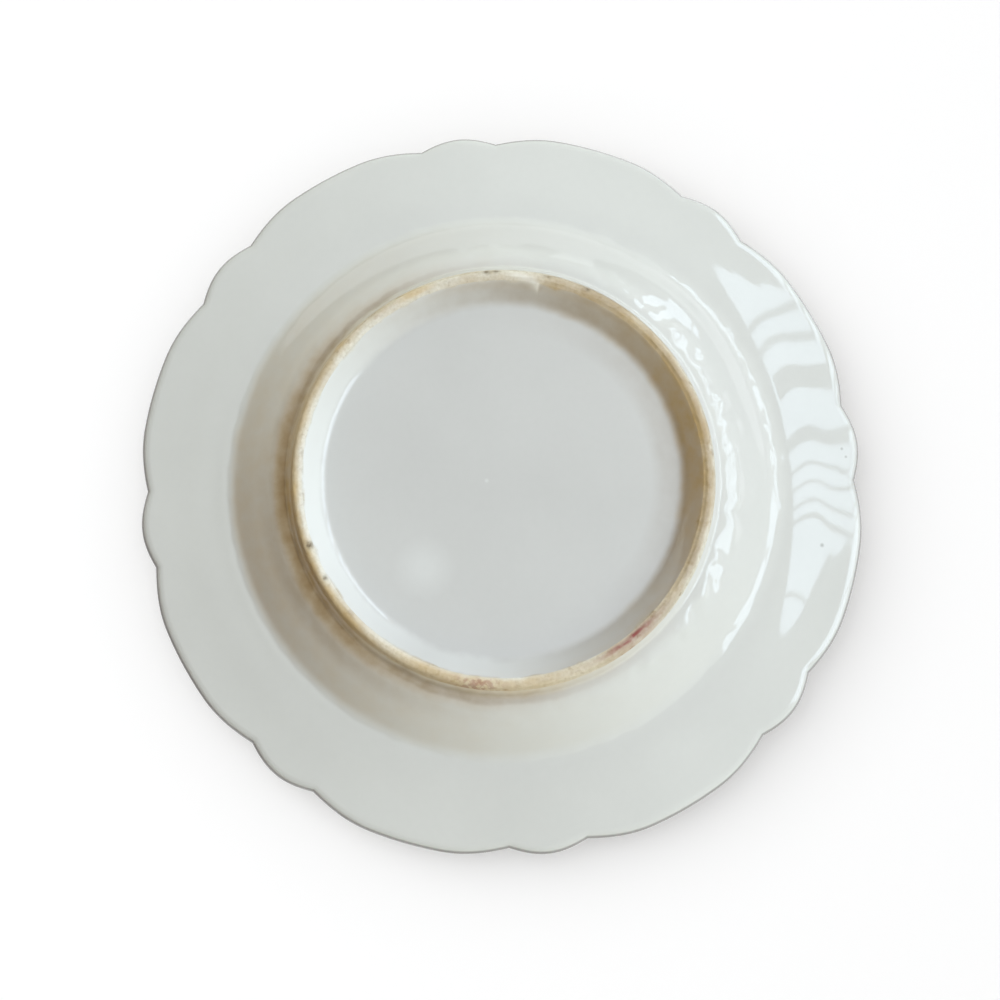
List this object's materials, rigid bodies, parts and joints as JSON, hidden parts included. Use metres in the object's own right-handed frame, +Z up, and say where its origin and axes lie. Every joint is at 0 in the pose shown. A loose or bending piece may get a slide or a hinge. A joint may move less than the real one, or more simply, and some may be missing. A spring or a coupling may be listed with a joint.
{
  "type": "canape dish",
  "caption": "Small round porcelain dish with a scalloped lip, wide flange, shallow well and bare-edged foot ring, for serving canapes.",
  "frame": {"origin": "centre of the plane that the foot ring's tread stands on", "axes": "+Z up along the dish's axis, out of the well; +X through the middle of a short lobe of the lip"},
  "size_m": [0.1594, 0.1594, 0.019],
  "materials": {
    "bare_porcelain": "matte",
    "foot_clay": "matte",
    "face_glaze": "polished",
    "back_glaze": "polished",
    "recess_glaze": "polished"
  },
  "bodies": {
    "root": {"porcelain_body": "bare_porcelain", "foot_ring": "foot_clay", "face_glaze": "face_glaze", "back_glaze": "back_glaze", "recess_glaze": "recess_glaze"}
  },
  "joints": []
}
